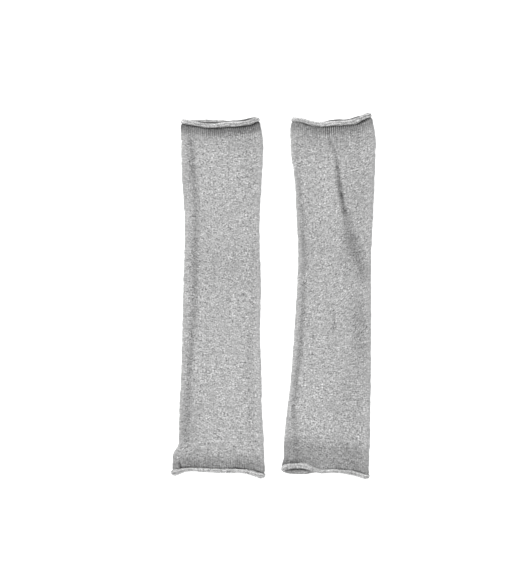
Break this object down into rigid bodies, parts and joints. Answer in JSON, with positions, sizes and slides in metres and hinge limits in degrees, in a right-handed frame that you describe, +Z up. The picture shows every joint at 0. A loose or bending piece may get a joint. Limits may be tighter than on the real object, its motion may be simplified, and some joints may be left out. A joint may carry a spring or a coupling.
{
  "type": "pair of leg warmers",
  "caption": "Pair of plain jersey knit leg warmers with self-rolled edges, two open tubes laid flat side by side",
  "frame": {"origin": "on the surface that the pair lies on, under the middle of the pair's box", "axes": "+X to the right as laid and seen from above, +Y along the legs to their top edges, +Z up, out of the surface"},
  "size_m": [0.2765, 0.4935, 0.0134],
  "materials": {
    "knit": "matte heather grey fine jersey"
  },
  "bodies": {
    "root": {"left_leg_warmer": "knit", "right_leg_warmer": "knit"}
  },
  "joints": []
}
